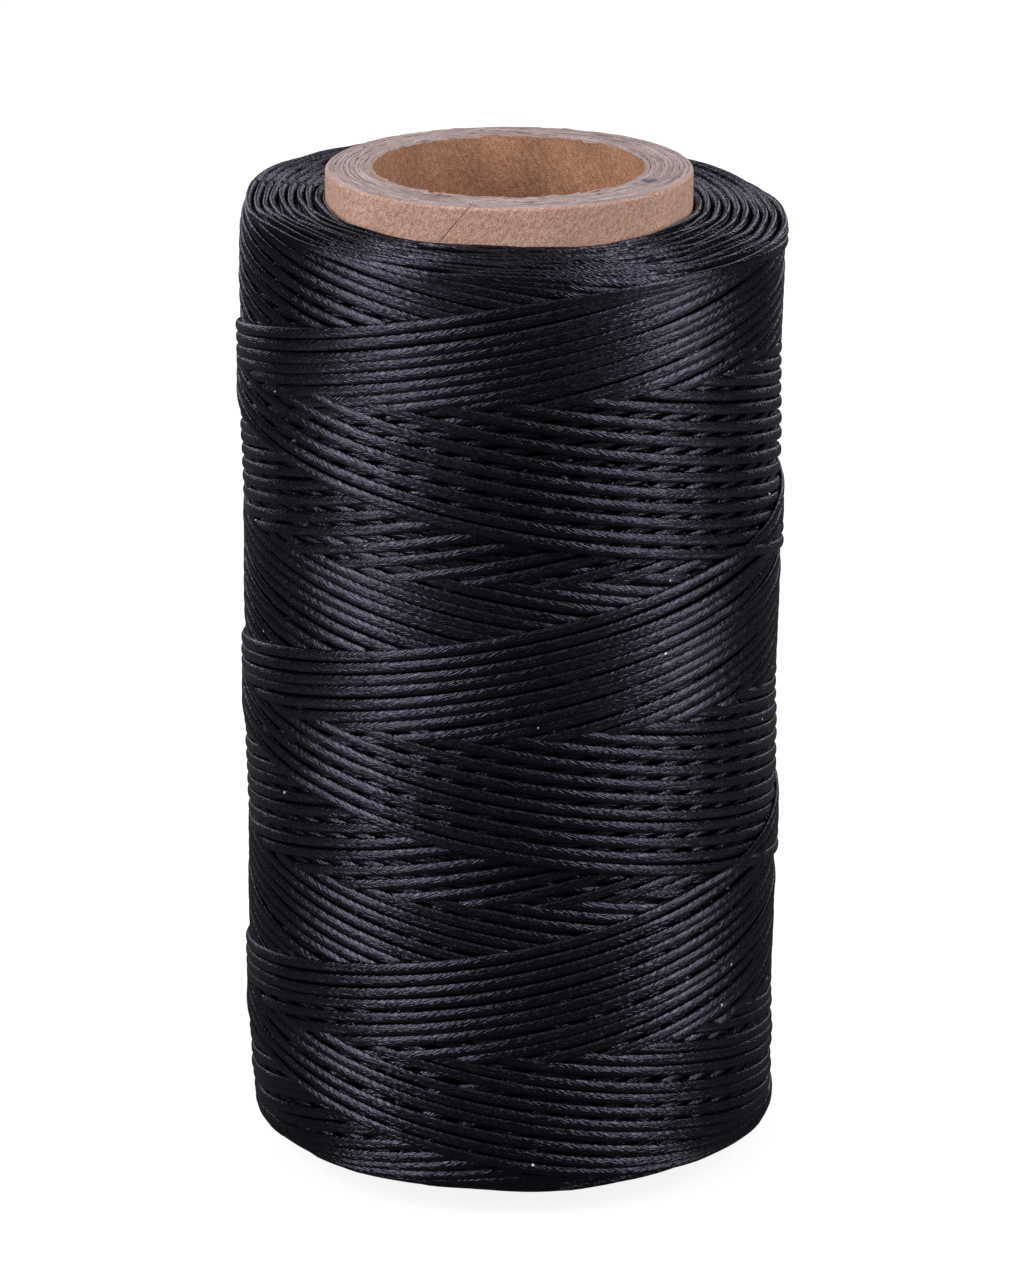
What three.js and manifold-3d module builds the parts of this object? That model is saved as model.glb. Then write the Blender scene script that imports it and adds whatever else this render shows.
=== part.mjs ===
// Spool of waxed leather-stitching thread: a spirally wound paper tube that carries one long thread,
// laid on in crossing helices. Millimetres, +Z up along the tube, origin at the centre of its lower end.
import * as THREE from "three";
import { mergeVertices } from "three/addons/utils/BufferGeometryUtils.js";
import Module from "manifold-3d";

const wasm = await Module();
wasm.setup();

// Paper tube: strips of kraft paper and board, each wound on the last and glued to it.
const BORE_DIAMETER = 25.4;
const CORE_LENGTH = 96;
const PLY_COUNT = 10;
const PLY_THICKNESS = 0.415;
const GLUE_LINE = 0.03;
const RIM_CHAMFER = 0.3;

// The two edges of a strip meet in a butt seam that climbs round the tube as a right-handed helix.
const SEAM_LEAD = 130;
const SEAM_GAP = 0.25;
const SEAM_STEP_TURNS = 0.35;
const OUTER_SEAM_ANGLE_AT_TOP = THREE.MathUtils.degToRad(258);
const SEAM_CUT_STEPS = 16;

// Wound thread: the package starts above the tube's lower end and stops below its upper end.
const WINDING_DIAMETER = 50.8;
const WINDING_BOTTOM = 2.5;
const WINDING_TOP = 93.2;
const END_ROUNDING = 3;
const CORE_CLEARANCE = 0.05;

const FACETS = 48;
const END_ARC_POINTS = 8;

const PLY_PITCH = PLY_THICKNESS + GLUE_LINE;
const CORE_RADIUS = BORE_DIAMETER / 2 + PLY_COUNT * PLY_PITCH - GLUE_LINE;

const LINER_KRAFT = { color: 0xa87a5e, roughness: 0.85, metalness: 0 };
const GREY_BOARD = { color: 0xa08c8a, roughness: 0.95, metalness: 0 };
const OUTER_KRAFT = { color: 0xb58d80, roughness: 0.85, metalness: 0 };
const WAXED_THREAD = { color: 0x1d1c21, roughness: 0.45, metalness: 0 };

function namedMesh(name, geometry, finish) {
  const mesh = new THREE.Mesh(geometry, new THREE.MeshStandardMaterial(finish));
  mesh.name = name;
  return mesh;
}

// Turns a closed outline of (radius, height) points about the tube's axis.
function turned(outline) {
  const points = outline.map(([radius, height]) => new THREE.Vector2(radius, height));
  points.push(points[0].clone());
  return new THREE.LatheGeometry(points, FACETS).rotateX(Math.PI / 2);
}

function toSolid(geometry) {
  const bare = geometry.clone();
  bare.deleteAttribute("normal");
  bare.deleteAttribute("uv");
  const merged = mergeVertices(bare, 1e-4);
  return new wasm.Manifold(
    new wasm.Mesh({
      numProp: 3,
      vertProperties: new Float32Array(merged.attributes.position.array),
      triVerts: new Uint32Array(merged.index.array),
    }),
  );
}

function toGeometry(solid) {
  const { vertProperties, triVerts } = solid.getMesh();
  const geometry = new THREE.BufferGeometry();
  geometry.setAttribute("position", new THREE.BufferAttribute(vertProperties, 3));
  geometry.setIndex(new THREE.BufferAttribute(triVerts, 1));
  geometry.computeVertexNormals();
  return geometry;
}

// Turns each point about +Z by an angle in step with its height, so a straight blade becomes a helix.
function twisted(geometry, lead) {
  const position = geometry.attributes.position;
  const axis = new THREE.Vector3(0, 0, 1);
  const point = new THREE.Vector3();
  for (let i = 0; i < position.count; i++) {
    point.fromBufferAttribute(position, i);
    point.applyAxisAngle(axis, (2 * Math.PI * point.z) / lead);
    position.setXYZ(i, point.x, point.y, point.z);
  }
  return geometry;
}

// A thin blade through one ply's wall, from below the tube to above it.
function seamBlade(innerRadius, outerRadius, angleAtTop) {
  const reach = 0.5;
  const overrun = 1;
  const section = new THREE.Shape();
  section.moveTo(innerRadius - reach, -SEAM_GAP / 2);
  section.lineTo(outerRadius + reach, -SEAM_GAP / 2);
  section.lineTo(outerRadius + reach, SEAM_GAP / 2);
  section.lineTo(innerRadius - reach, SEAM_GAP / 2);
  section.closePath();
  const blade = new THREE.ExtrudeGeometry(section, {
    depth: CORE_LENGTH + 2 * overrun,
    steps: SEAM_CUT_STEPS,
    bevelEnabled: false,
  }).translate(0, 0, -CORE_LENGTH - overrun);
  return twisted(blade, SEAM_LEAD).rotateZ(angleAtTop).translate(0, 0, CORE_LENGTH);
}

// One strip of the tube. Only the outermost has its two rims eased by the cut-off knife.
function ply(index) {
  const inner = BORE_DIAMETER / 2 + index * PLY_PITCH;
  const outer = inner + PLY_THICKNESS;
  const isOuter = index === PLY_COUNT - 1;
  const rim = isOuter
    ? [
        [outer - RIM_CHAMFER, 0],
        [outer, RIM_CHAMFER],
        [outer, CORE_LENGTH - RIM_CHAMFER],
        [outer - RIM_CHAMFER, CORE_LENGTH],
      ]
    : [
        [outer, 0],
        [outer, CORE_LENGTH],
      ];
  const tube = turned([[inner, 0], ...rim, [inner, CORE_LENGTH]]);
  const turnsFromOuter = (PLY_COUNT - 1 - index) * SEAM_STEP_TURNS;
  const seamAngle = OUTER_SEAM_ANGLE_AT_TOP + 2 * Math.PI * turnsFromOuter;
  const strip = toSolid(tube).subtract(toSolid(seamBlade(inner, outer, seamAngle)));
  return toGeometry(strip);
}

// The thread as wound: straight down the tube's wall inside, and a quarter ellipse out to each side.
function winding() {
  const inner = CORE_RADIUS + CORE_CLEARANCE;
  const outer = WINDING_DIAMETER / 2;
  const reach = outer - inner;
  const lowerEnd = new THREE.EllipseCurve(
    inner, WINDING_BOTTOM + END_ROUNDING, reach, END_ROUNDING, -Math.PI / 2, 0,
  );
  const upperEnd = new THREE.EllipseCurve(
    inner, WINDING_TOP - END_ROUNDING, reach, END_ROUNDING, 0, Math.PI / 2,
  );
  const outline = [...lowerEnd.getPoints(END_ARC_POINTS), ...upperEnd.getPoints(END_ARC_POINTS)];
  return turned(outline.map((point) => [point.x, point.y]));
}

const spool = new THREE.Group();

const core = new THREE.Group();
core.add(namedMesh("core_liner_ply", ply(0), LINER_KRAFT));
for (let index = 1; index < PLY_COUNT - 1; index++) {
  core.add(namedMesh(`core_body_ply_${index}`, ply(index), GREY_BOARD));
}
core.add(namedMesh("core_outer_ply", ply(PLY_COUNT - 1), OUTER_KRAFT));
spool.add(core);

spool.add(namedMesh("thread_winding", winding(), WAXED_THREAD));

export default spool;
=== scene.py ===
# %% [markdown]
# # A spool of waxed stitching thread
# The object is two bought things: a tube wound from ten strips of paper, and one long braided thread laid on
# it in crossing helices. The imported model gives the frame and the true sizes. This script makes the
# surface of both: the cut and slightly frayed paper plies, and the thread itself, turn by turn.

import math

import bmesh
import bpy
import numpy as np
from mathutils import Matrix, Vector, noise


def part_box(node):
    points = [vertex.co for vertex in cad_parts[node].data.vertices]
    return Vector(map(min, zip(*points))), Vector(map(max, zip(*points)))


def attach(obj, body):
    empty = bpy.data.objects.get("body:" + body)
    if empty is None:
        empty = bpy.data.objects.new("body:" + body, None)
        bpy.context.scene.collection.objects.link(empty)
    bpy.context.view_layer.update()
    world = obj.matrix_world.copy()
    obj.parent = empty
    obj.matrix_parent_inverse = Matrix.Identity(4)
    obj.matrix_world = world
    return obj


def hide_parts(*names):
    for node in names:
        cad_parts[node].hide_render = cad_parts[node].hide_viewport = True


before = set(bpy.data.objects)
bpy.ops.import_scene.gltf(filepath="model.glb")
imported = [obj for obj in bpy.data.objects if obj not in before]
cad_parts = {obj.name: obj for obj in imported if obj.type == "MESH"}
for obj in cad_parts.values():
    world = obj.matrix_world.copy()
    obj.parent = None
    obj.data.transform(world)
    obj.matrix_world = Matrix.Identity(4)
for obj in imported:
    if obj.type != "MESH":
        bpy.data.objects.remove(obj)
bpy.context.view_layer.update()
MM = 0.001
print("nodes:", sorted(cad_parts))

# %% [markdown]
# ## Driving sizes
# The tube's sizes are read from the frame, so the looks always follow the design. The thread is a flat waxed
# braid, about 1.1 mm wide where it lies free. It is laid by a precision winder: in one stroke up and one
# stroke down the tube turns just under six times, so that each new turn lands one thread width beside the
# last turn of the same stroke, and 24 turns fill the distance that the thread climbs in one revolution. The
# package is full a little short of its widest, because the last crossings stand proud.

# %% Sizes
tube_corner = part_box("core_outer_ply")[1]
winding_low, winding_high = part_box("thread_winding")

CORE_TOP = tube_corner.z / MM
CORE_RADIUS = tube_corner.x / MM
PLY_COUNT = 10
PLY_THICKNESS = 0.415
GLUE_LINE = 0.03
PLY_PITCH = PLY_THICKNESS + GLUE_LINE
BORE_RADIUS = CORE_RADIUS + GLUE_LINE - PLY_COUNT * PLY_PITCH

THREAD_WIDTH = 1.14
THREAD_THICKNESS = 0.54
WINDING_LOW = winding_low.z / MM
WINDING_HIGH = winding_high.z / MM
TURNS_PER_LEAD = 24
TURNS_PER_DOUBLE_STROKE = 6 - 1 / TURNS_PER_LEAD
WINDING_RADIUS = winding_high.x / MM
CROSSING_ALLOWANCE = 0.2
FULL_RADIUS = WINDING_RADIUS - CROSSING_ALLOWANCE
print("core radius", round(CORE_RADIUS, 2), "bore radius", round(BORE_RADIUS, 2), "winding", WINDING_RADIUS)

# %% [markdown]
# ## Camera
# A long lens from the front, looking down by 18 degrees: long enough that the two sides of the package stay
# nearly parallel.

# %% Camera
SENSOR = 36
FOCAL_LENGTH = 147.684375
SIDEWAYS_SHIFT = 0.0021875
CAMERA_DISTANCE = 502 * MM
CAMERA_PITCH = math.radians(17.98)
AIM = Vector((0, 0, 49.7 * MM))

lens = bpy.data.cameras.new("catalogue_camera")
lens.sensor_width = SENSOR
lens.lens = FOCAL_LENGTH
lens.shift_x = SIDEWAYS_SHIFT
lens.clip_end = 50
camera = bpy.data.objects.new("catalogue_camera", lens)
bpy.context.scene.collection.objects.link(camera)
camera.location = AIM + CAMERA_DISTANCE * Vector((0, -math.cos(CAMERA_PITCH), math.sin(CAMERA_PITCH)))
camera.rotation_euler = (math.pi / 2 - CAMERA_PITCH, 0, 0)
bpy.context.scene.camera = camera
print("camera at", [round(value, 3) for value in camera.location])

# %% [markdown]
# ## Studio
# Black thread shows its shape only by what it reflects. Two tall softboxes stand in front, to the left and to
# the right, and leave a dark gap between them, where the camera is. Each draws one bright band down the
# package. A broad, weak box overhead lights the paper, two behind give the soft line along the sides, and
# two white cards on the table lift the lower half. The floor is white to the eye but gives little light back,
# as if it were a lit sheet far below, so that it doesn't fill the dark middle of the package.

# %% Helpers for colours and nodes
def colour(hexcode):
    """sRGB hex such as 'b28c7f' as a linear colour with alpha."""
    channels = [int(hexcode[k : k + 2], 16) / 255 for k in (0, 2, 4)]
    return [c / 12.92 if c <= 0.04045 else ((c + 0.055) / 1.055) ** 2.4 for c in channels] + [1]


def add(tree, kind, inputs=(), **settings):
    """Adds a shader node. Inputs maps a socket to a value or to another node's output."""
    node = tree.nodes.new("ShaderNode" + kind)
    for name, value in settings.items():
        setattr(node, name, value)
    for socket, value in dict(inputs).items():
        if isinstance(value, bpy.types.NodeSocket):
            tree.links.new(value, node.inputs[socket])
        else:
            node.inputs[socket].default_value = value
    return node


# %% Lights
def softbox(name, azimuth, distance, width, height, base, radiance, tint="ffffff"):
    """A tall panel that faces the spool. Azimuth is measured from the camera's side towards the right."""
    panel = bpy.data.lights.new(name, "AREA")
    panel.shape = "RECTANGLE"
    panel.size = width
    panel.size_y = height
    panel.color = colour(tint)[:3]
    panel.energy = radiance * math.pi * width * height
    box = bpy.data.objects.new(name, panel)
    bpy.context.scene.collection.objects.link(box)
    angle = math.radians(azimuth)
    box.location = (distance * math.sin(angle), -distance * math.cos(angle), base + height / 2)
    box.rotation_euler = (AIM - box.location).to_track_quat("-Z", "Y").to_euler()
    return box


def reflector_card(name, azimuth, distance, width, depth, radiance):
    """A white card that lies on the table and throws light up at the spool."""
    card = softbox(name, azimuth, distance, width, depth, 0, radiance)
    card.location.z = 2 * MM
    card.rotation_euler = (math.pi, 0, math.radians(azimuth))
    return card


# %% Softboxes and cards
BACK_TINT = "f2eeff"
BACK_BOX = {"distance": 0.9, "width": 0.5, "height": 1.0, "base": 0.0, "radiance": 1.4, "tint": BACK_TINT}
CARD = {"distance": 0.3, "width": 0.18, "depth": 0.4}

softbox("left_softbox", azimuth=-59, distance=0.9, width=0.5, height=1.0, base=0.0, radiance=7.0)
softbox("right_softbox", azimuth=67, distance=0.9, width=0.45, height=1.0, base=0.0, radiance=6.2)
softbox("top_softbox", azimuth=0, distance=0.5, width=1.6, height=1.0, base=0.85, radiance=0.9)
softbox("back_left_softbox", azimuth=-155, **BACK_BOX)
softbox("back_right_softbox", azimuth=155, **BACK_BOX)
reflector_card("left_card", azimuth=-58, radiance=0.6, **CARD)
reflector_card("right_card", azimuth=66, radiance=0.5, **CARD)
print("lights:", len(bpy.data.lights))

# %% Surroundings
SURROUND_STRENGTH = 0.02

world = bpy.data.worlds.new("white_studio")
world.use_nodes = True
bpy.context.scene.world = world
world.node_tree.nodes.clear()
looking = add(world.node_tree, "LightPath")
surround = add(world.node_tree, "Background", {"Color": colour("f4f4f6"), "Strength": SURROUND_STRENGTH})
backdrop = add(world.node_tree, "Background", {"Color": colour("ffffff"), "Strength": 1.0})
either = add(
    world.node_tree,
    "MixShader",
    {0: looking.outputs["Is Camera Ray"], 1: surround.outputs[0], 2: backdrop.outputs[0]},
)
add(world.node_tree, "OutputWorld", {"Surface": either.outputs[0]})

# %% Floor
FLOOR_HALF_WIDTH = 20
FLOOR_GLOW = 0.86

floor_bm = bmesh.new()
bmesh.ops.create_grid(floor_bm, x_segments=1, y_segments=1, size=FLOOR_HALF_WIDTH)
floor_mesh = bpy.data.meshes.new("studio_floor")
floor_bm.to_mesh(floor_mesh)
floor_bm.free()
floor = bpy.data.objects.new("studio_floor", floor_mesh)
bpy.context.scene.collection.objects.link(floor)
floor_material = bpy.data.materials.new("white_floor")
floor_material.use_nodes = True
tree = floor_material.node_tree
tree.nodes.clear()
eye = add(tree, "LightPath")
matt = add(tree, "BsdfDiffuse", {"Color": colour("505052")})
lit = add(tree, "Emission", {"Color": colour("ffffff"), "Strength": FLOOR_GLOW})
sheet = add(tree, "BsdfDiffuse", {"Color": colour("8c8c8e")})
glow = add(tree, "AddShader", {0: lit.outputs[0], 1: sheet.outputs[0]})
floor_face = add(tree, "MixShader", {0: eye.outputs["Is Camera Ray"], 1: matt.outputs[0], 2: glow.outputs[0]})
add(tree, "OutputMaterial", {"Surface": floor_face.outputs[0]})
floor_mesh.materials.append(floor_material)

bpy.context.scene.view_settings.view_transform = "Standard"
bpy.context.scene.view_settings.look = "None"

# %% [markdown]
# ## Paper tube
# Each ply is a strip of paper or board wound on the last one. Its two edges meet in a butt seam that climbs
# the tube as a helix, and the edges nearly touch, so the seam shows as a hair line. A ply is made as its cut
# outline, spun nearly all the way round, closed at the two seam edges, and then twisted so that the seam
# climbs. The saw leaves the two ends a little rough, so the points near them are moved by a smooth noise,
# each ply by its own.

# %% Ply maker
SEAM_LEAD = 130
SEAM_GAP = 0.08
SEAM_STEP = math.radians(0.35 * 360)
OUTER_SEAM_AT_TOP = math.radians(258)
SPIN_STEPS = 180
END_ROWS = (0.12, 0.35, 0.8, 1.6, 3.0, 5.0)
MIDDLE_ROW_SPACING = 5.0
CORNER_STEPS = 6


def row_heights():
    """Heights of the rows of points up the wall: close together near the two cut ends."""
    low = list(END_ROWS)
    high = [CORE_TOP - step for step in reversed(END_ROWS)]
    count = int((high[0] - low[-1]) / MIDDLE_ROW_SPACING)
    middle = list(np.linspace(low[-1], high[0], count + 1)[1:-1])
    return low + middle + high


def rim(radius_in, radius_out, rounding):
    """Radii and depths below the cut end, across the ply from the inside out, with a rounded outer corner."""
    arc = [
        (radius_out - rounding * (1 - math.cos(a)), rounding * (1 - math.sin(a)))
        for a in np.radians(np.linspace(0, 90, CORNER_STEPS))
    ]
    flat = np.linspace(radius_in, radius_out - rounding, 4)
    return [(r, 0.0) for r in flat[:-1]] + list(reversed(arc))


def ply_outline(radius_in, radius_out, rounding):
    """The closed outline of the cut wall, as (radius, height)."""
    rows = [z for z in row_heights() if rounding < z < CORE_TOP - rounding]
    top = [(r, CORE_TOP - depth) for r, depth in rim(radius_in, radius_out, rounding)]
    bottom = [(r, depth) for r, depth in rim(radius_in, radius_out, rounding)]
    inside = [(radius_in, z) for z in rows]
    outside = [(radius_out, z) for z in rows]
    return inside + top + outside[::-1] + bottom[::-1]


# %% Frayed ends
FRAY_DEPTH = 0.6
FRAY_SCALE = 0.9
FINE_SCALE, BROAD_SCALE, PULL_SCALE = 3.1, 0.7, 2.3
FINE_SHARE, BROAD_SHARE, PULL_SHARE = 0.6, 0.8, 0.6
PLY_SEED_STEP = 7.3
UPPER_END_SEED = 40
PULL_SEED = Vector((5, 5, 5))


def frayed(point, index, roughness):
    """Moves a point near a cut end by a smooth noise of its own ply."""
    depth = min(point.z, CORE_TOP - point.z)
    if depth > FRAY_DEPTH:
        return point
    share = 1 - depth / FRAY_DEPTH
    upper = point.z > CORE_TOP / 2
    seed = index * PLY_SEED_STEP + (UPPER_END_SEED if upper else 0)
    place = Vector((point.x * FRAY_SCALE, point.y * FRAY_SCALE, seed))
    fine = noise.noise(place * FINE_SCALE)
    broad = noise.noise(place * BROAD_SCALE)
    lift = share * roughness * (FINE_SHARE * fine + BROAD_SHARE * broad)
    pull = share * roughness * PULL_SHARE * noise.noise(place * PULL_SCALE + PULL_SEED)
    flat = Vector((point.x, point.y, 0)).normalized() * pull
    return point + flat + Vector((0, 0, lift if upper else -lift))


# %% One ply
SHARP_EDGE = math.radians(40)


def make_ply(name, index, roughness, rounding=0.02):
    radius_in = BORE_RADIUS + index * PLY_PITCH
    radius_out = radius_in + PLY_THICKNESS
    bm = bmesh.new()
    ring = [bm.verts.new((r, 0, z)) for r, z in ply_outline(radius_in, radius_out, rounding)]
    loop = [bm.edges.new((a, b)) for a, b in zip(ring, ring[1:] + ring[:1])]
    gap = SEAM_GAP / radius_out
    bmesh.ops.spin(
        bm, geom=ring + loop, axis=(0, 0, 1), cent=(0, 0, 0), angle=2 * math.pi - gap, steps=SPIN_STEPS
    )
    edge_loops = [edge for edge in bm.edges if edge.is_boundary]
    bmesh.ops.edgeloop_fill(bm, edges=edge_loops)
    bmesh.ops.recalc_face_normals(bm, faces=bm.faces)
    seam_at_top = OUTER_SEAM_AT_TOP + (PLY_COUNT - 1 - index) * SEAM_STEP
    for vert in bm.verts:
        x, y, z = frayed(vert.co, index, roughness)
        turn = seam_at_top + (z - CORE_TOP) / SEAM_LEAD * 2 * math.pi
        vert.co = Vector((
            x * math.cos(turn) - y * math.sin(turn),
            x * math.sin(turn) + y * math.cos(turn),
            z,
        )) * MM
    for face in bm.faces:
        face.smooth = True
    mesh = bpy.data.meshes.new(name)
    bm.to_mesh(mesh)
    bm.free()
    mesh.set_sharp_from_angle(angle=SHARP_EDGE)
    piece = bpy.data.objects.new(name, mesh)
    bpy.context.scene.collection.objects.link(piece)
    return piece


# %% [markdown]
# ## Finishes of the tube
# Kraft paper is made of unbleached wood fibres pressed flat. Seen close it is a tan felt with paler and
# redder fibres about a tenth of a millimetre wide, most of them along the strip. The plies between are grey
# recycled board. The saw cut shows each ply as a thin line, crushed a little and dusty, and one dark stain
# lies on the upper end. A few specks of lint cling to paper and wax alike.

# %% Paper coordinates
def paper_coordinates(tree, radius, stretch):
    """Object coordinates in mm, unrolled from the tube, turned along the strip and drawn out along it."""
    place = add(tree, "TexCoord")
    parts = add(tree, "SeparateXYZ", {0: place.outputs["Object"]})
    angle = add(tree, "Math", {0: parts.outputs["Y"], 1: parts.outputs["X"]}, operation="ARCTAN2")
    around = add(tree, "Math", {0: angle.outputs[0], 1: radius}, operation="MULTIPLY")
    height = add(tree, "Math", {0: parts.outputs["Z"], 1: 1 / MM}, operation="MULTIPLY")
    unrolled = add(tree, "CombineXYZ", {0: around.outputs[0], 1: height.outputs[0]})
    strip_angle = math.atan2(SEAM_LEAD, 2 * math.pi * radius)
    turned = add(
        tree,
        "Mapping",
        {"Vector": unrolled.outputs[0], "Rotation": (0, 0, -strip_angle)},
        vector_type="POINT",
    )
    return add(tree, "VectorMath", {0: turned.outputs[0], 1: (1 / stretch, 1, 1)}, operation="MULTIPLY")


# %% Lint
LINT_SPACING = 5.0
LINT_SIZE = 0.13
LINT_COLOUR = "cfcac8"


def with_lint(tree, base):
    """A few specks of pale lint that cling to the surface, over a base colour."""
    place = add(tree, "TexCoord")
    specks = add(
        tree, "TexVoronoi", {"Vector": place.outputs["Object"], "Scale": 1 / (LINT_SPACING * MM)}
    )
    reach = LINT_SIZE / LINT_SPACING
    near = add(tree, "Math", {0: specks.outputs["Distance"], 1: reach}, operation="LESS_THAN")
    mixed = add(tree, "MixRGB", {0: near.outputs[0], 1: base, 2: colour(LINT_COLOUR)})
    return mixed.outputs[0]


# %% Kraft paper
FIBRE_WIDTH = 0.10
FIBRE_BUNDLE = 0.35
FIBRE_STRETCH = 1.8
FIBRE_SHARE, BUNDLE_SHARE = 0.74, 0.26
FELT_DARK, FELT_MIDDLE, FELT_LIGHT = 0.41, 0.5, 0.6
FELT_RELIEF = 0.06
MOTTLE_SIZE = 3.5
END_GRAIN_STARTS, END_GRAIN_FULL = 0.72, 0.95


def kraft_paper(name, radius, dark, middle, light, cut_dark, cut_light, blotch):
    """Unbleached kraft: a felt of fibres that gives a warm, mottled, quite matt surface."""
    material = bpy.data.materials.new(name)
    material.use_nodes = True
    tree = material.node_tree
    surface = tree.nodes["Principled BSDF"]
    place = paper_coordinates(tree, radius, FIBRE_STRETCH).outputs[0]
    fibres = add(
        tree, "TexNoise", {"Vector": place, "Scale": 1 / FIBRE_WIDTH, "Detail": 4, "Roughness": 0.7}
    )
    bundles = add(tree, "TexNoise", {"Vector": place, "Scale": 1 / FIBRE_BUNDLE, "Detail": 3})
    mottle = add(tree, "TexNoise", {"Vector": place, "Scale": 1 / MOTTLE_SIZE, "Detail": 3})
    single = add(tree, "Math", {0: fibres.outputs[0], 1: FIBRE_SHARE}, operation="MULTIPLY")
    felt = add(
        tree,
        "Math",
        {0: bundles.outputs[0], 1: BUNDLE_SHARE, 2: single.outputs[0]},
        operation="MULTIPLY_ADD",
    )
    shades = add(tree, "ValToRGB", {0: felt.outputs[0]})
    ramp = shades.color_ramp
    ramp.elements[0].position = FELT_DARK
    ramp.elements[0].color = colour(dark)
    ramp.elements[1].position = FELT_LIGHT
    ramp.elements[1].color = colour(light)
    ramp.elements.new(FELT_MIDDLE).color = colour(middle)
    clouds = add(
        tree, "MapRange", {0: mottle.outputs[0], 1: 0.35, 2: 0.7, 3: 1 - blotch, 4: 1 + blotch * 0.4}
    )
    cloudy = add(
        tree, "VectorMath", {0: shades.outputs[0], "Scale": clouds.outputs[0]}, operation="SCALE"
    )
    cut = cut_board(tree, cut_dark, cut_light)
    facing = add(tree, "NewGeometry")
    upright = add(tree, "SeparateXYZ", {0: facing.outputs["True Normal"]})
    endwise = add(tree, "Math", {0: upright.outputs["Z"]}, operation="ABSOLUTE")
    on_cut = add(tree, "MapRange", {0: endwise.outputs[0], 1: END_GRAIN_STARTS, 2: END_GRAIN_FULL})
    face = add(tree, "MixRGB", {0: on_cut.outputs[0], 1: cloudy.outputs[0], 2: cut.outputs[0]})
    linty = with_lint(tree, face.outputs[0])
    tree.links.new(linty, surface.inputs["Base Color"])
    surface.inputs["Roughness"].default_value = 0.82
    surface.inputs["Specular IOR Level"].default_value = 0.3
    bump = add(tree, "Bump", {"Height": felt.outputs[0], "Strength": 0.65, "Distance": FELT_RELIEF * MM})
    tree.links.new(bump.outputs[0], surface.inputs["Normal"])
    return material


# %% Cut board
PLY_LINE = 0.21
RING_WAVES = 1.6
CUT_GRAIN = 0.12
RING_SHARE, GRAIN_SHARE = 0.55, 0.45
CUT_DARK, CUT_LIGHT = 0.36, 0.64
CUT_RELIEF = 0.08
SMUDGE_PLACE = (12.9, -6.0, CORE_TOP)
SMUDGE_SIZE = 0.9
SMUDGE_EDGE = 0.25
SMUDGE_STRENGTH = 0.75
SMUDGE_COLOUR = "4a5260"


def smudge_share(tree, millimetres, grain):
    """How much of one dark stain with a ragged edge lies at a place on the upper sawn end."""
    away = add(tree, "VectorMath", {0: millimetres, 1: SMUDGE_PLACE}, operation="DISTANCE")
    ragged = add(tree, "Math", {0: grain, 1: 0.5, 2: away.outputs["Value"]}, operation="MULTIPLY_ADD")
    fading = {1: SMUDGE_SIZE, 2: SMUDGE_SIZE + SMUDGE_EDGE, 3: SMUDGE_STRENGTH, 4: 0.0}
    return add(tree, "MapRange", {0: ragged.outputs[0], **fading}).outputs[0]


def cut_board(tree, dark, light):
    """Colour of the sawn end: thin rings a fraction of a ply apart, broken up by crushed fibres."""
    place = add(tree, "TexCoord")
    millimetres = add(tree, "VectorMath", {0: place.outputs["Object"], "Scale": 1 / MM}, operation="SCALE")
    parts = add(tree, "SeparateXYZ", {0: millimetres.outputs[0]})
    flat = add(tree, "CombineXYZ", {0: parts.outputs["X"], 1: parts.outputs["Y"]})
    radius = add(tree, "VectorMath", {0: flat.outputs[0]}, operation="LENGTH")
    angle = add(tree, "Math", {0: parts.outputs["Y"], 1: parts.outputs["X"]}, operation="ARCTAN2")
    slow = add(tree, "Math", {0: angle.outputs[0], 1: RING_WAVES}, operation="MULTIPLY")
    across = add(tree, "Math", {0: radius.outputs["Value"], 1: 1 / PLY_LINE}, operation="MULTIPLY")
    polar = add(tree, "CombineXYZ", {0: across.outputs[0], 1: slow.outputs[0]})
    rings = add(tree, "TexNoise", {"Vector": polar.outputs[0], "Scale": 1.0, "Detail": 2})
    grain = add(
        tree, "TexNoise", {"Vector": millimetres.outputs[0], "Scale": 1 / CUT_GRAIN, "Detail": 2}
    )
    blend = add(tree, "Math", {0: rings.outputs[0], 1: RING_SHARE}, operation="MULTIPLY")
    mixed = add(
        tree,
        "Math",
        {0: grain.outputs[0], 1: GRAIN_SHARE, 2: blend.outputs[0]},
        operation="MULTIPLY_ADD",
    )
    shades = add(tree, "ValToRGB", {0: mixed.outputs[0]})
    shades.color_ramp.elements[0].position = CUT_DARK
    shades.color_ramp.elements[0].color = colour(dark)
    shades.color_ramp.elements[1].position = CUT_LIGHT
    shades.color_ramp.elements[1].color = colour(light)
    smudge = smudge_share(tree, millimetres.outputs[0], grain.outputs[0])
    return add(tree, "MixRGB", {0: smudge, 1: shades.outputs[0], 2: colour(SMUDGE_COLOUR)})


def grey_board(name, dark, light):
    """Recycled grey board: short mixed fibres, matt and a little dusty where it is sawn."""
    material = bpy.data.materials.new(name)
    material.use_nodes = True
    tree = material.node_tree
    surface = tree.nodes["Principled BSDF"]
    shades = cut_board(tree, dark, light)
    tree.links.new(shades.outputs[0], surface.inputs["Base Color"])
    surface.inputs["Roughness"].default_value = 0.92
    surface.inputs["Specular IOR Level"].default_value = 0.2
    bump = add(tree, "Bump", {"Height": shades.outputs[0], "Strength": 0.7, "Distance": CUT_RELIEF * MM})
    tree.links.new(bump.outputs[0], surface.inputs["Normal"])
    return material


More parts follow.
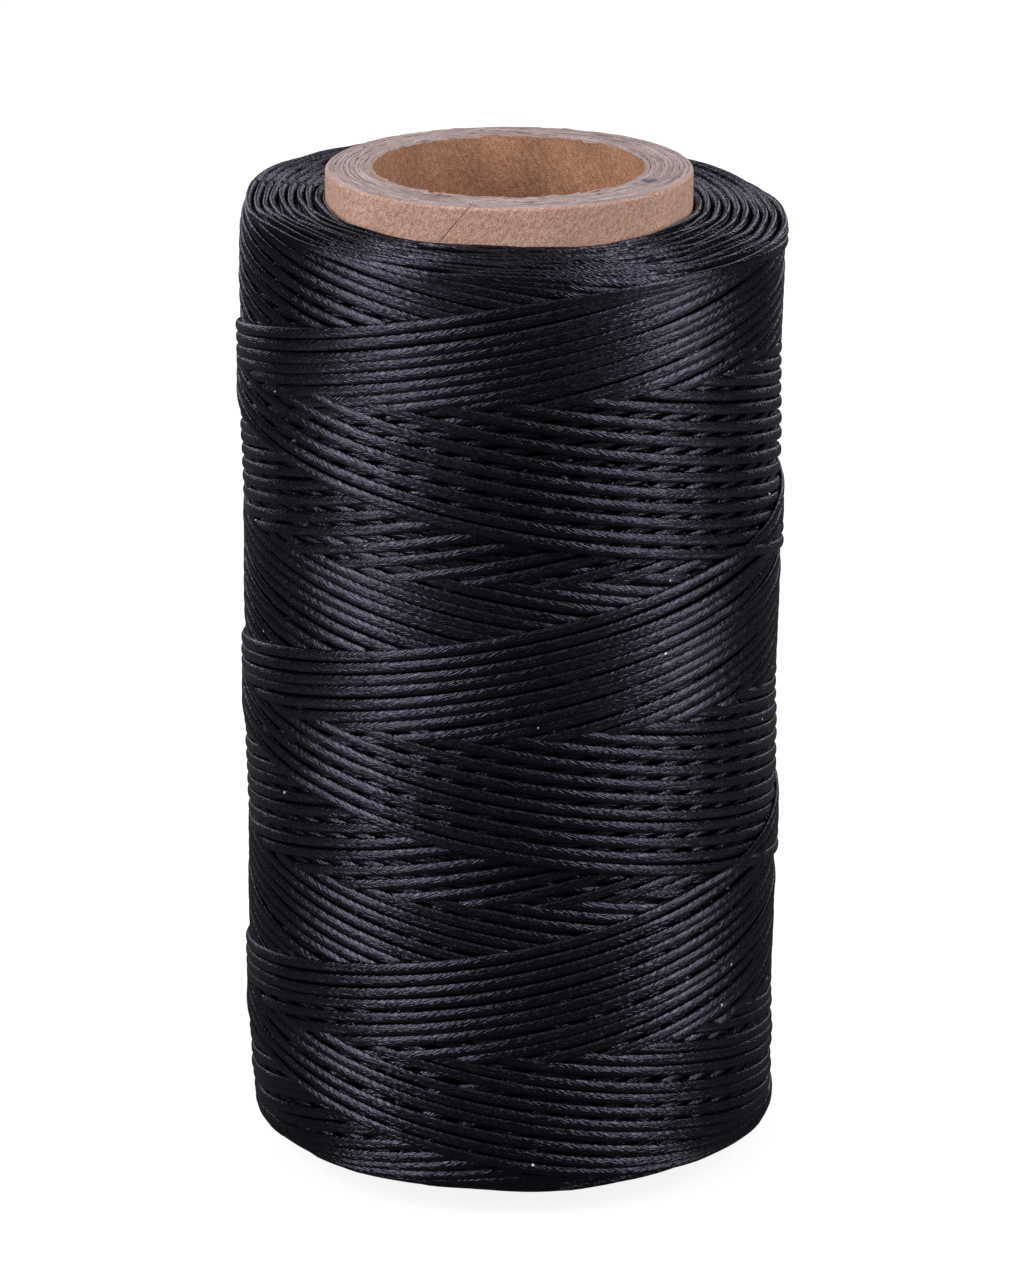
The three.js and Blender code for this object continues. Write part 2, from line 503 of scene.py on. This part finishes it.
# %% The ten plies
outer_kraft = kraft_paper(
    "unbleached_kraft_outer_wrap",
    CORE_RADIUS,
    dark="a06a56",
    middle="be9482",
    light="dcc2b8",
    cut_dark="85706d",
    cut_light="c6b3b0",
    blotch=0.10,
)
liner_kraft = kraft_paper(
    "brown_kraft_bore_liner",
    BORE_RADIUS,
    dark="8a5a42",
    middle="b07f62",
    light="cda48a",
    cut_dark="8f7a78",
    cut_light="b8a29c",
    blotch=0.22,
)
body_board = grey_board("grey_recycled_board", dark="75625f", light="cbb9b7")

for index in range(PLY_COUNT):
    if index == 0:
        node, material, finish = "core_liner_ply", liner_kraft, "liner_kraft"
        ply = make_ply("bore_liner_strip", index, roughness=0.24)
    elif index == PLY_COUNT - 1:
        node, material, finish = "core_outer_ply", outer_kraft, "outer_kraft"
        ply = make_ply("outer_wrap_strip", index, roughness=0.06, rounding=0.34)
    else:
        node, material, finish = f"core_body_ply_{index}", body_board, "grey_board"
        ply = make_ply(f"board_strip_{index}", index, roughness=0.17)
    ply.data.materials.append(material)
    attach(ply, "root")
    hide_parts(node)
print("ply faces:", len(ply.data.polygons))

# %% [markdown]
# ## Laying the thread
# The thread could be drawn as a few tidy helices, but then the crossings, the ends and the places where a
# turn bridges over its neighbours would all be wrong. So the winding is worked out as the machine makes it.
# A map holds the package's radius at each angle and height. Stroke by stroke the thread's path is laid
# on the map, and pulled taut: between two high spots it runs straight, so it can't follow a hollow. The last
# stroke is cut short, and its end is tucked under at the back.
#
# The map has columns half a degree wide and rows 0.1 mm high. A turn rides 0.42 mm above whatever bears its
# middle, less than its full thickness, because waxed thread beds in. A crossing stands at most 0.45 mm above
# the mean. The guide wanders by a few hundredths of a millimetre in a stroke and by a tenth where it turns.

# %% Winding rules
COLUMNS = 720
CELL = 0.1
ROWS = int(CORE_TOP / CELL)
STEP = 2 * math.pi / COLUMNS
STROKE = TURNS_PER_DOUBLE_STROKE * math.pi
TURN_ROUND = 1.0
LAY_THICKNESS = 0.42
CREST = 0.45
LEAST_RISE = 0.06
END_CREST = 0.25
SHOULDER_DROP = 0.8
SHOULDER_DEPTH = 2.5
END_ZONE = (1.0, 5.0)
TRACKING_ERROR = 0.05
STROKE_ERROR = 0.10
STROKE_COUNT = 476
START_ANGLE = math.radians(281.2)
TAIL_TURN = math.radians(150)
TAIL_TUCK = math.radians(25)
TUCK_DEPTH = 0.45
START_RADIUS = CORE_RADIUS + 0.05
SECTION_POWER = 2.15
DRAWN_SHARE = 0.95
BEARING_SHARE = 0.36
chance = np.random.default_rng(7)

# %% Footprint of the thread on the map
half_cells = int(round(THREAD_WIDTH / 2 / CELL))
reach = np.arange(-half_cells, half_cells + 1)
from_middle = np.clip(np.abs(reach * CELL) / (THREAD_WIDTH / 2 * 1.02), 0, 1)
crown = (1 - from_middle**SECTION_POWER) ** (1 / SECTION_POWER)
bearing = np.abs(reach * CELL) <= BEARING_SHARE * THREAD_WIDTH


def smooth(share):
    share = np.clip(share, 0, 1)
    return share * share * (3 - 2 * share)


# %% Ends of the strokes
LOW_INSET = 0.4
LOW_ROUNDING = 1.0
HIGH_INSET = 0.7
HIGH_GROWTH = 0.3
HIGH_ROUNDING = 1.1
FRONT_DIP, FRONT_DIP_GROWTH = 0.6, 0.3
RIGHT_DIP, RIGHT_DIP_GROWTH = 0.15, 0.85


def stroke_end(number, fullness):
    """Height at which a stroke turns round. The outer layers turn a little earlier, which rounds the ends.
    The guide stood a little askew, so the upper end is higher at the back and on the left."""
    if number % 2 == 0:
        return WINDING_LOW + LOW_INSET + LOW_ROUNDING * fullness**2 + chance.normal(0, STROKE_ERROR)
    right_of_front = START_ANGLE + number * STROKE + math.pi / 2
    askew = (FRONT_DIP + FRONT_DIP_GROWTH * fullness) * math.cos(right_of_front)
    askew += (RIGHT_DIP + RIGHT_DIP_GROWTH * fullness) * math.sin(right_of_front)
    mean_height = WINDING_HIGH - HIGH_INSET + HIGH_GROWTH * fullness - HIGH_ROUNDING * fullness**2
    return mean_height - askew + chance.normal(0, STROKE_ERROR)


# %% Taut thread
def pulled_taut(heights, spacing, radius):
    """The lowest curve above the heights that a taut thread can take round a drum of that radius."""
    along = np.arange(len(heights)) * spacing
    bent = (heights - along * along / (2 * radius)).tolist()
    touching = []
    for here, value in enumerate(bent):
        while len(touching) > 1:
            first, last = touching[-2], touching[-1]
            if (bent[last] - bent[first]) * (here - first) > (value - bent[first]) * (last - first):
                break
            touching.pop()
        touching.append(here)
    straight = np.interp(np.arange(len(heights)), touching, [bent[k] for k in touching])
    return straight + along * along / (2 * radius)


# %% Path of one stroke
KNOT_SPACING = 60


def stroke_path(number, ends):
    """Column numbers, heights and distance from the nearer end along one stroke."""
    start = number * STROKE
    index = np.arange(math.ceil(start / STEP), math.ceil((start + STROKE) / STEP))
    turned = index * STEP - start
    low, high = ends[number], ends[number + 1]
    steady = STROKE - TURN_ROUND
    travel = np.where(
        turned < TURN_ROUND,
        turned**2 / (2 * TURN_ROUND),
        np.where(
            turned > steady, steady - (STROKE - turned) ** 2 / (2 * TURN_ROUND), turned - TURN_ROUND / 2
        ),
    )
    height = low + (high - low) * travel / steady
    depth = np.minimum(np.abs(height - low), np.abs(height - high))
    knots = len(index) // KNOT_SPACING + 3
    drift = chance.normal(0, TRACKING_ERROR, knots)
    height = height + np.interp(np.linspace(0, knots - 1, len(index)), np.arange(knots), drift)
    return index, height, depth


def cells_under(height):
    """Cells of the map from one edge of the thread to the other, for each height of its middle."""
    row = np.clip(np.round(height / CELL).astype(int), half_cells + 1, ROWS - half_cells - 2)
    return row[:, None] + reach


# %% Winding
def wind():
    """Lays stroke after stroke until the package is full. Returns the radius map and the thread's path."""
    surface = np.full((COLUMNS, ROWS), START_RADIUS)
    ends = [stroke_end(0, 0)]
    laid = []
    mean = START_RADIUS
    last_top = START_RADIUS + LAY_THICKNESS
    for number in range(STROKE_COUNT):
        fullness = (mean - START_RADIUS) / (FULL_RADIUS - START_RADIUS)
        ends.append(stroke_end(number + 1, fullness))
        index, height, depth = stroke_path(number, ends)
        if number == STROKE_COUNT - 1:
            tail = int(TAIL_TURN / STEP)
            index, height, depth = index[:tail], height[:tail], depth[:tail]
        column = (index % COLUMNS)[:, None]
        rows = cells_under(height)
        under = surface[column, rows]
        support = under[:, bearing].max(1)
        shoulder = SHOULDER_DROP * np.clip(1 - depth / SHOULDER_DEPTH, 0, 1) ** 2
        at_end = 1 - smooth((depth - END_ZONE[0]) / (END_ZONE[1] - END_ZONE[0]))
        free = np.minimum(support + LAY_THICKNESS, mean + CREST)
        wanted = at_end * (mean + END_CREST - shoulder) + (1 - at_end) * free
        wanted = np.maximum(wanted, support + LEAST_RISE)
        wanted[0] = last_top
        top = pulled_taut(wanted, STEP * (mean + END_CREST), mean + END_CREST)
        if number == STROKE_COUNT - 1:
            before_end = np.arange(tail)[::-1] * STEP
            top = top - TUCK_DEPTH * smooth(1 - before_end / TAIL_TUCK)
        last_top = top[-1]
        centre = top - THREAD_THICKNESS / 2
        surface[column, rows] = np.maximum(under, centre[:, None] + THREAD_THICKNESS / 2 * crown)
        laid.append((index, height, centre, depth, np.full(len(index), number)))
        mean = surface[:, ROWS // 6 : ROWS * 5 // 6].mean()
    path = [np.concatenate(part) for part in zip(*laid)]
    return surface, path


surface_map, (column_at, height_at, radius_at, depth_at, stroke_at) = wind()
thread_length = (radius_at * STEP).sum() / 1000
print("mean radius", round(surface_map.mean(), 2), "thread on the spool", round(thread_length), "m")

# %% [markdown]
# ## What can be seen of it
# Nearly all of the thread lies buried. A stretch is kept when some part of its crown reaches the
# package's surface, or, near the two ends, when no other turn at the same radius lies further out.

# %% Visible stretches
SEEN_THROUGH = 0.06
END_SEEN_THROUGH = 0.35
END_REGION = 6
RADIUS_BIN = 0.1
SPREAD = range(-2, 3)


def seen_from_outside():
    under = surface_map[(column_at % COLUMNS)[:, None], cells_under(height_at)]
    own = radius_at[:, None] + THREAD_THICKNESS / 2 * crown
    return (own >= under - SEEN_THROUGH).any(1)


def seen_from_end(side):
    """Side is 1 for the upper end and -1 for the lower end."""
    column = column_at % COLUMNS
    first_bin = ((radius_at - START_RADIUS) / RADIUS_BIN).astype(int) + 5
    furthest = np.full((COLUMNS, first_bin.max() + 4), -np.inf)
    for offset in SPREAD:
        np.maximum.at(furthest, (column, first_bin + offset), side * height_at)
    seen = np.zeros(len(column), bool)
    for offset in SPREAD:
        seen |= side * height_at >= furthest[column, first_bin + offset] - END_SEEN_THROUGH
    return seen & (depth_at < END_REGION) & ((height_at > CORE_TOP / 2) == (side > 0))


def stretches(seen, margin=3):
    """First and last point of each run of seen points, widened a little so that its ends lie hidden."""
    padded = np.convolve(seen, np.ones(2 * margin + 1), "same") > 0
    edges = np.flatnonzero(np.diff(np.concatenate(([0], padded.astype(int), [0]))))
    return list(zip(edges[::2], edges[1::2]))


seen = seen_from_outside() | seen_from_end(1) | seen_from_end(-1)
runs = stretches(seen)
print("stretches", len(runs), "seen", round((radius_at[seen] * STEP).sum() / 1000, 1), "m")

# %% [markdown]
# ## Thread as curves
# Each stretch becomes one open spline with the braid's flat section as its bevel, so the turns are real
# geometry with real edges. The section is drawn a little narrower than the room the thread takes up, so that
# the groove between two neighbours shows, as it does where their soft edges squash. Near the ends the section
# leans with the shoulder. The package grew slightly off the tube's axis. The distance along the thread
# and across it are stored on the points, because the braid pattern must follow the thread.

# %% Section
OUTER_STEPS = 8
INNER_STEPS = 4


def section_points():
    """The flat section: fine steps over the crown, coarse ones underneath."""
    crown_angles = np.linspace(-90, 90, OUTER_STEPS + 1)
    under_angles = np.linspace(90, 270, INNER_STEPS + 1)[1:-1]
    points = []
    for angle in np.radians(list(crown_angles) + list(under_angles)):
        c, s = math.cos(angle), math.sin(angle)
        x = THREAD_THICKNESS / 2 * math.copysign(abs(c) ** (2 / SECTION_POWER), c)
        y = DRAWN_SHARE * THREAD_WIDTH / 2 * math.copysign(abs(s) ** (2 / SECTION_POWER), s)
        points.append((x, y))
    return points


SECTION = section_points()


def make_section():
    outline = bpy.data.curves.new("thread_section", "CURVE")
    spline = outline.splines.new("POLY")
    spline.points.add(len(SECTION) - 1)
    spline.use_cyclic_u = True
    for point, (x, y) in zip(spline.points, SECTION):
        point.co = (x * MM, y * MM, 0, 1)
    return bpy.data.objects.new("thread_section", outline)


section = make_section()
bpy.context.scene.collection.objects.link(section)

# %% Place, lean and width along the path
WIDTH_VARIATION = 0.035
WIDTH_SPACING = 150

angle_at = column_at * STEP + START_ANGLE
front = np.flatnonzero((stroke_at == STROKE_COUNT - 2) & (np.abs(np.sin(angle_at) + 1) < 1e-4))
print("newest up-stroke passes the front at heights", np.round(height_at[front], 1))
along_at = np.cumsum(radius_at * STEP)
lean_at = np.where(
    depth_at < SHOULDER_DEPTH,
    0.5 * np.arctan(2 * SHOULDER_DROP / SHOULDER_DEPTH * (1 - depth_at / SHOULDER_DEPTH)),
    0,
) * np.where(height_at > CORE_TOP / 2, 1, -1)
width_knots = chance.normal(1, WIDTH_VARIATION, len(along_at) // WIDTH_SPACING + 2)
width_at = np.interp(np.arange(len(along_at)) / WIDTH_SPACING, np.arange(len(width_knots)), width_knots)


# %% Curves to meshes
SPLINE_STRIDE = 5
OFF_CENTRE = 0.2
FACES_PER_PIECE = 82000
PATTERN_LENGTH = 10000


def make_turns(name, some_runs):
    """One mesh that holds the given stretches as closed tubes, with their braid coordinates."""
    curve = bpy.data.curves.new(name, "CURVE")
    curve.dimensions = "3D"
    curve.twist_mode = "Z_UP"
    curve.bevel_mode = "OBJECT"
    curve.bevel_object = section
    curve.use_fill_caps = True
    picks = []
    for first, last in some_runs:
        pick = np.unique(np.append(np.arange(first, last, SPLINE_STRIDE), last - 1))
        if len(pick) < 2:
            continue
        picks.append(pick)
        spline = curve.splines.new("POLY")
        spline.points.add(len(pick) - 1)
        radius, angle = radius_at[pick], angle_at[pick]
        off_centre = OFF_CENTRE * (radius - START_RADIUS) / (FULL_RADIUS - START_RADIUS)
        x, y = radius * np.cos(angle) + off_centre, radius * np.sin(angle)
        place = np.stack([x, y, height_at[pick], np.full(len(pick), 1 / MM)], 1)
        spline.points.foreach_set("co", (place * MM).ravel())
        spline.points.foreach_set("radius", width_at[pick])
        spline.points.foreach_set("tilt", lean_at[pick])
        spline.use_smooth = True
    drawn = bpy.data.objects.new(name + "_curve", curve)
    bpy.context.scene.collection.objects.link(drawn)
    mesh = bpy.data.meshes.new_from_object(drawn.evaluated_get(bpy.context.evaluated_depsgraph_get()))
    bpy.data.objects.remove(drawn)
    pick = np.concatenate(picks)
    size = len(SECTION)
    along = np.zeros(len(mesh.vertices), np.float32)
    across = np.zeros(len(mesh.vertices), np.float32)
    tube = len(mesh.vertices) - len(pick) * size
    direction = np.where(stroke_at[pick] % 2, -1, 1)
    along[tube:] = np.repeat(along_at[pick] * direction % PATTERN_LENGTH, size)
    across[tube:] = np.tile([y for _, y in SECTION], len(pick))
    for label, values in (("along", along), ("across", across)):
        mesh.attributes.new(label, "FLOAT", "POINT").data.foreach_set("value", values)
    mesh.name = name
    bm = bmesh.new()
    bm.from_mesh(mesh)
    bmesh.ops.remove_doubles(bm, verts=bm.verts, dist=1e-7)
    bm.to_mesh(mesh)
    bm.free()
    piece = bpy.data.objects.new(name, mesh)
    bpy.context.scene.collection.objects.link(piece)
    return piece


def shared_out(all_runs):
    """Groups the stretches, in the order they were laid, so that no piece has too many faces."""
    groups, load = [[]], 0
    for run in all_runs:
        faces = ((run[1] - run[0]) / SPLINE_STRIDE + 2) * len(SECTION)
        if load + faces > FACES_PER_PIECE:
            groups.append([])
            load = 0
        groups[-1].append(run)
        load += faces
    return groups


turn_pieces = [make_turns(f"thread_turns_{k + 1}", group) for k, group in enumerate(shared_out(runs))]
bpy.data.objects.remove(section)
print("turn pieces:", [(piece.name, len(piece.data.polygons)) for piece in turn_pieces])

# %% [markdown]
# ## Buried turns
# Under the turns that show lies the rest of the package. It is seen only as darkness in the gaps, so one
# closed body just below the visible turns stands for it.

# %% Buried turns
BURIED_DEPTH = 0.85
BURIED_CORNER = 1.6
BURIED_TOP = WINDING_HIGH - 0.8 - BURIED_DEPTH
BURIED_BOTTOM = WINDING_LOW + 0.7 + BURIED_DEPTH
TOP_SHOULDER = 1.2
BOTTOM_SHOULDER = 2.0


def make_buried_turns():
    radius = FULL_RADIUS - BURIED_DEPTH
    inner = CORE_RADIUS + 0.02
    bm = bmesh.new()
    corner = [
        (radius - BURIED_CORNER * (1 - math.cos(a)), BURIED_CORNER * (1 - math.sin(a)))
        for a in np.radians(np.linspace(0, 90, CORNER_STEPS))
    ]
    upper = [(r, BURIED_TOP - TOP_SHOULDER - depth) for r, depth in corner]
    lower = [(r, BURIED_BOTTOM + BOTTOM_SHOULDER + depth) for r, depth in corner]
    outline = [(inner, BURIED_BOTTOM), (inner, BURIED_TOP)] + upper[::-1] + lower
    ring = [bm.verts.new((r * MM, 0, z * MM)) for r, z in outline]
    loop = [bm.edges.new((a, b)) for a, b in zip(ring, ring[1:] + ring[:1])]
    bmesh.ops.spin(
        bm, geom=ring + loop, axis=(0, 0, 1), cent=(0, 0, 0), angle=2 * math.pi, steps=120, use_merge=True
    )
    bmesh.ops.recalc_face_normals(bm, faces=bm.faces)
    mesh = bpy.data.meshes.new("buried_turns")
    bm.to_mesh(mesh)
    bm.free()
    piece = bpy.data.objects.new("buried_turns", mesh)
    bpy.context.scene.collection.objects.link(piece)
    return piece


buried_turns = make_buried_turns()
print("buried turns:", len(buried_turns.data.polygons), "faces")

# %% [markdown]
# ## Finish of the thread
# Flat waxed thread is a plait of fine polyester filaments soaked in wax. The filaments lean towards the
# middle from both edges, like an ear of wheat, and they show as short dashes of relief, 0.7 mm long and a
# tenth of a millimetre wide, shinier on top than between. The relief is kept low, because the wax fills the
# hollows, and higher relief would scatter the bright bands. Haze in the wax, a few millimetres across, makes
# the gloss uneven. Over the thread's own near black, the dashes' base colour is painted a little lighter as a
# painted glint, and the hollows between them a little darker as painted shade.

# %% Waxed braid
DASH_PITCH = 0.6
DASH_LEAN = math.radians(14)
DASH_SIZE = (0.7, 0.11)
DASH_RELIEF = 0.034
DASH_EDGES = (0.32, 0.68)
WAX_CLOUD = 6.0
WAX_HAZE = 0.15
ROUGH_DASH, ROUGH_BETWEEN = 0.2, 0.3
# Near black of the thread: the lighter value is a painted glint on the dashes, the darker one painted shade
# between them.
BRAID_BLACK_PAINTED_SHADE, BRAID_BLACK_PAINTED_GLINT = "030304", "0a090d"
WAX_TINT = "e2daff"
WAX_IOR = 1.5


def waxed_braid(name):
    """Black polyester under wax: nearly black, with a soft cool gloss broken into dashes by the plait."""
    material = bpy.data.materials.new(name)
    material.use_nodes = True
    tree = material.node_tree
    surface = tree.nodes["Principled BSDF"]
    along = add(tree, "Attribute", attribute_name="along").outputs["Fac"]
    across = add(tree, "Attribute", attribute_name="across").outputs["Fac"]
    side = add(tree, "Math", {0: across}, operation="ABSOLUTE")
    lower = add(tree, "Math", {0: across, 1: 0.0}, operation="LESS_THAN")
    stagger = add(tree, "Math", {0: lower.outputs[0], 1: DASH_PITCH / 2, 2: along}, operation="MULTIPLY_ADD")
    row = add(tree, "CombineXYZ", {0: stagger.outputs[0], 1: side.outputs[0]})
    strand_place = add(
        tree, "Mapping", {"Vector": row.outputs[0], "Rotation": (0, 0, -DASH_LEAN)}, vector_type="POINT"
    )
    dash_place = add(
        tree,
        "VectorMath",
        {0: strand_place.outputs[0], 1: (1 / DASH_SIZE[0], 1 / DASH_SIZE[1], 1)},
        operation="MULTIPLY",
    )
    half = add(tree, "CombineXYZ", {2: lower.outputs[0]})
    own_half = add(tree, "VectorMath", {0: dash_place.outputs[0], 1: half.outputs[0]}, operation="ADD")
    dashes = add(tree, "TexNoise", {"Vector": own_half.outputs[0], "Scale": 1.0, "Detail": 0})
    dash = add(tree, "MapRange", {0: dashes.outputs[0], 1: DASH_EDGES[0], 2: DASH_EDGES[1]})
    bump = add(tree, "Bump", {"Height": dash.outputs[0], "Strength": 1.0, "Distance": DASH_RELIEF * MM})
    tree.links.new(bump.outputs[0], surface.inputs["Normal"])
    place = add(tree, "TexCoord")
    cloud_scale = 1 / (WAX_CLOUD * MM)
    wax = add(tree, "TexNoise", {"Vector": place.outputs["Object"], "Scale": cloud_scale, "Detail": 2})
    haze = add(tree, "MapRange", {0: wax.outputs[0], 1: 0.3, 2: 0.7, 3: WAX_HAZE, 4: -WAX_HAZE})
    shine = add(tree, "Math", {0: dash.outputs[0], 1: haze.outputs[0]}, operation="ADD")
    rough = add(tree, "MapRange", {0: shine.outputs[0], 3: ROUGH_BETWEEN, 4: ROUGH_DASH})
    tree.links.new(rough.outputs[0], surface.inputs["Roughness"])
    # Base colour: painted glint on the dashes and painted shade between them, over the thread's own near
    # black.
    painted_glint_tone = add(tree, "ValToRGB", {0: dash.outputs[0]})
    painted_glint_tone.color_ramp.elements[0].position = 0.2
    painted_glint_tone.color_ramp.elements[0].color = colour(BRAID_BLACK_PAINTED_SHADE)
    painted_glint_tone.color_ramp.elements[1].position = 0.9
    painted_glint_tone.color_ramp.elements[1].color = colour(BRAID_BLACK_PAINTED_GLINT)
    tree.links.new(with_lint(tree, painted_glint_tone.outputs[0]), surface.inputs["Base Color"])
    surface.inputs["IOR"].default_value = WAX_IOR
    surface.inputs["Specular Tint"].default_value = colour(WAX_TINT)
    return material


braid = waxed_braid("black_waxed_polyester_braid")
for piece in turn_pieces + [buried_turns]:
    piece.data.materials.append(braid)
    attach(piece, "root")
    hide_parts("thread_winding")
